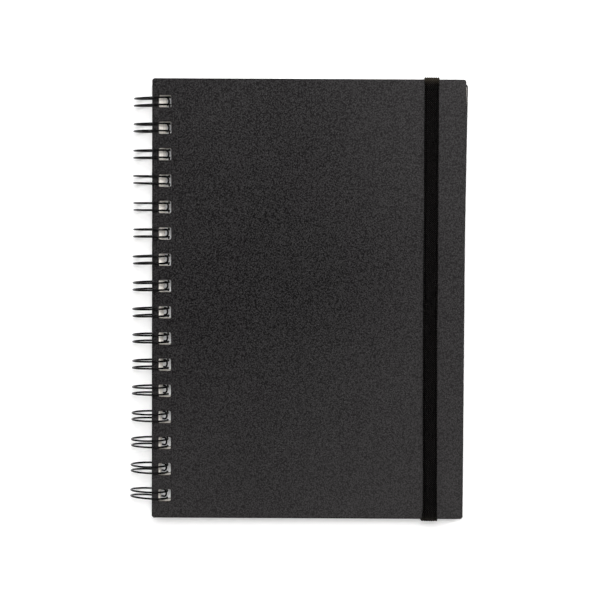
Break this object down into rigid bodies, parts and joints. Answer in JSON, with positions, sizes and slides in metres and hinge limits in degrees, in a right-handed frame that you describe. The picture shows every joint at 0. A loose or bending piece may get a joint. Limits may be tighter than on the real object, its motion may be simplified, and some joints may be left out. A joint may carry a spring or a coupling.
{
  "type": "sketchbook",
  "caption": "A5 portrait sketchbook with black pebbled hard covers, double-loop wire binding down the left edge and a woven elastic closure band near the fore-edge.",
  "frame": {"origin": "middle of the footprint, level with the underside of the wire binding", "axes": "+X from the wire binding to the fore-edge, +Y from tail to head (up the page), +Z from the back cover to the front cover"},
  "size_m": [0.1618, 0.2159, 0.0174],
  "materials": {
    "cover_skin": "fine pebbled black leatherette, satin",
    "board": "raw greyboard",
    "endpaper": "matt black uncoated paper",
    "sheets": "matt off-white cartridge paper",
    "wire": "black coated steel wire, satin",
    "elastic": "black woven elastic with lengthwise ribs"
  },
  "bodies": {
    "back_cover": {"back_board": "board", "back_wrap": "cover_skin", "back_endpaper": "endpaper", "twin_loop_wire": "wire", "lower_sheets": "sheets", "elastic_head_wrap": "elastic", "elastic_tail_wrap": "elastic"},
    "front_cover": {"front_board": "board", "front_wrap": "cover_skin", "front_endpaper": "endpaper"},
    "upper_sheets": {"upper_sheets": "sheets"},
    "elastic": {"elastic_strap": "elastic"},
    "leaf_1": {"leaf_1": "sheets"},
    "leaf_2": {"leaf_2": "sheets"},
    "leaf_3": {"leaf_3": "sheets"},
    "leaf_4": {"leaf_4": "sheets"},
    "leaf_5": {"leaf_5": "sheets"},
    "leaf_6": {"leaf_6": "sheets"}
  },
  "joints": [
    {"name": "front_cover_hinge", "type": "hinge", "parent": "back_cover", "child": "front_cover", "pos_m": [-0.07218, 0, 0.0087], "axis": [0, -1, 0], "range_deg": [0, 182]},
    {"name": "upper_sheets_hinge", "type": "hinge", "parent": "back_cover", "child": "upper_sheets", "pos_m": [-0.07218, 0, 0.0087], "axis": [0, -1, 0], "range_deg": [0, 180.2]},
    {"name": "leaf_1_hinge", "type": "hinge", "parent": "back_cover", "child": "leaf_1", "pos_m": [-0.07218, 0, 0.0087], "axis": [0, -1, 0], "range_deg": [0, 168]},
    {"name": "leaf_2_hinge", "type": "hinge", "parent": "back_cover", "child": "leaf_2", "pos_m": [-0.07218, 0, 0.0087], "axis": [0, -1, 0], "range_deg": [0, 146]},
    {"name": "leaf_3_hinge", "type": "hinge", "parent": "back_cover", "child": "leaf_3", "pos_m": [-0.07218, 0, 0.0087], "axis": [0, -1, 0], "range_deg": [0, 112]},
    {"name": "leaf_4_hinge", "type": "hinge", "parent": "back_cover", "child": "leaf_4", "pos_m": [-0.07218, 0, 0.0087], "axis": [0, -1, 0], "range_deg": [0, 72]},
    {"name": "leaf_5_hinge", "type": "hinge", "parent": "back_cover", "child": "leaf_5", "pos_m": [-0.07218, 0, 0.0087], "axis": [0, -1, 0], "range_deg": [0, 36]},
    {"name": "leaf_6_hinge", "type": "hinge", "parent": "back_cover", "child": "leaf_6", "pos_m": [-0.07218, 0, 0.0087], "axis": [0, -1, 0], "range_deg": [0, 10]},
    {"name": "elastic_release", "type": "hinge", "parent": "back_cover", "child": "elastic", "pos_m": [0.06327, 0, 0.00835], "axis": [-0.0079, 1, 0], "range_deg": [0, 180], "deforming": ["elastic_head_wrap", "elastic_tail_wrap", "elastic_strap"]}
  ],
  "couplings": [
    {"joint": "upper_sheets_hinge", "follows": "front_cover_hinge", "ratio": 0.99011},
    {"joint": "leaf_1_hinge", "follows": "front_cover_hinge", "ratio": 0.92308},
    {"joint": "leaf_2_hinge", "follows": "front_cover_hinge", "ratio": 0.8022},
    {"joint": "leaf_3_hinge", "follows": "front_cover_hinge", "ratio": 0.61538},
    {"joint": "leaf_4_hinge", "follows": "front_cover_hinge", "ratio": 0.3956},
    {"joint": "leaf_5_hinge", "follows": "front_cover_hinge", "ratio": 0.1978},
    {"joint": "leaf_6_hinge", "follows": "front_cover_hinge", "ratio": 0.054945}
  ]
}
